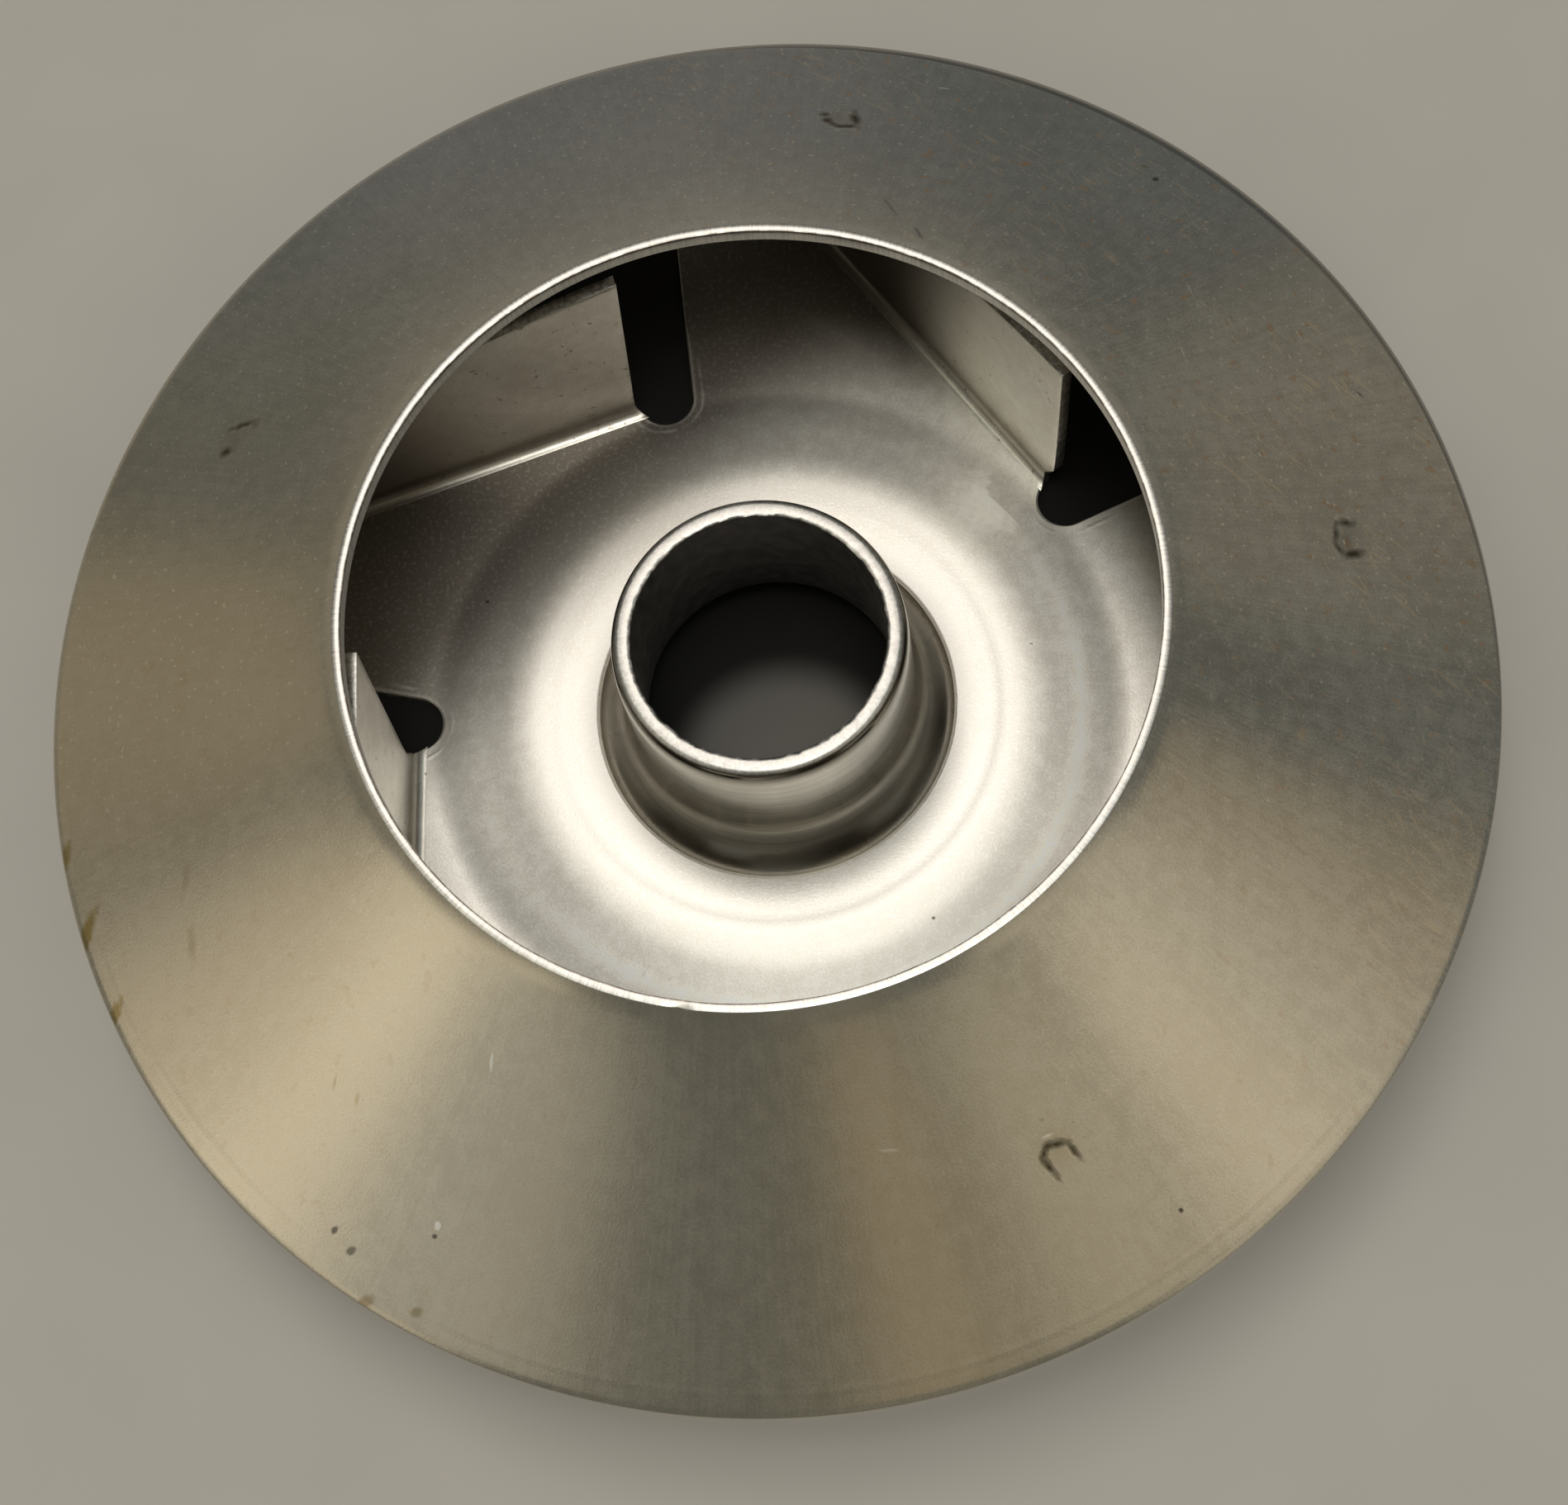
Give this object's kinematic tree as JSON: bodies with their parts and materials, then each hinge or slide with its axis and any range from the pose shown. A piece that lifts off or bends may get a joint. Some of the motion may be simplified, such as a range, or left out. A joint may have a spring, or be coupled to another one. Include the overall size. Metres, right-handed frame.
{
  "type": "water pump impeller",
  "caption": "Round pressed-steel pump impeller: conical front cover with a wide eye, straight vanes bent up from a windowed back plate, and a drawn hub sleeve with an open bore.",
  "frame": {"origin": "on the axis, in the plane of the back plate's underside, which is the floor it lies on", "axes": "+Z along the axis towards the eye; the picture is taken from above with the camera tipped towards -Y"},
  "size_m": [0.13, 0.13, 0.031],
  "materials": {
    "satin_steel": "satin pressed stainless sheet, used, with brown weld marks, rust specks and stains",
    "plate_steel": "fine satin pressed stainless sheet, bright round the hub",
    "polished_steel": "drawn and polished stainless, turned on its top rim",
    "vane_steel": "satin stainless sheet with bright sheared edges"
  },
  "bodies": {
    "root": {"front_shroud": "satin_steel", "back_shroud": "plate_steel", "hub_sleeve": "polished_steel", "vane_1": "vane_steel", "vane_2": "vane_steel", "vane_3": "vane_steel", "vane_4": "vane_steel", "vane_5": "vane_steel"}
  },
  "joints": []
}
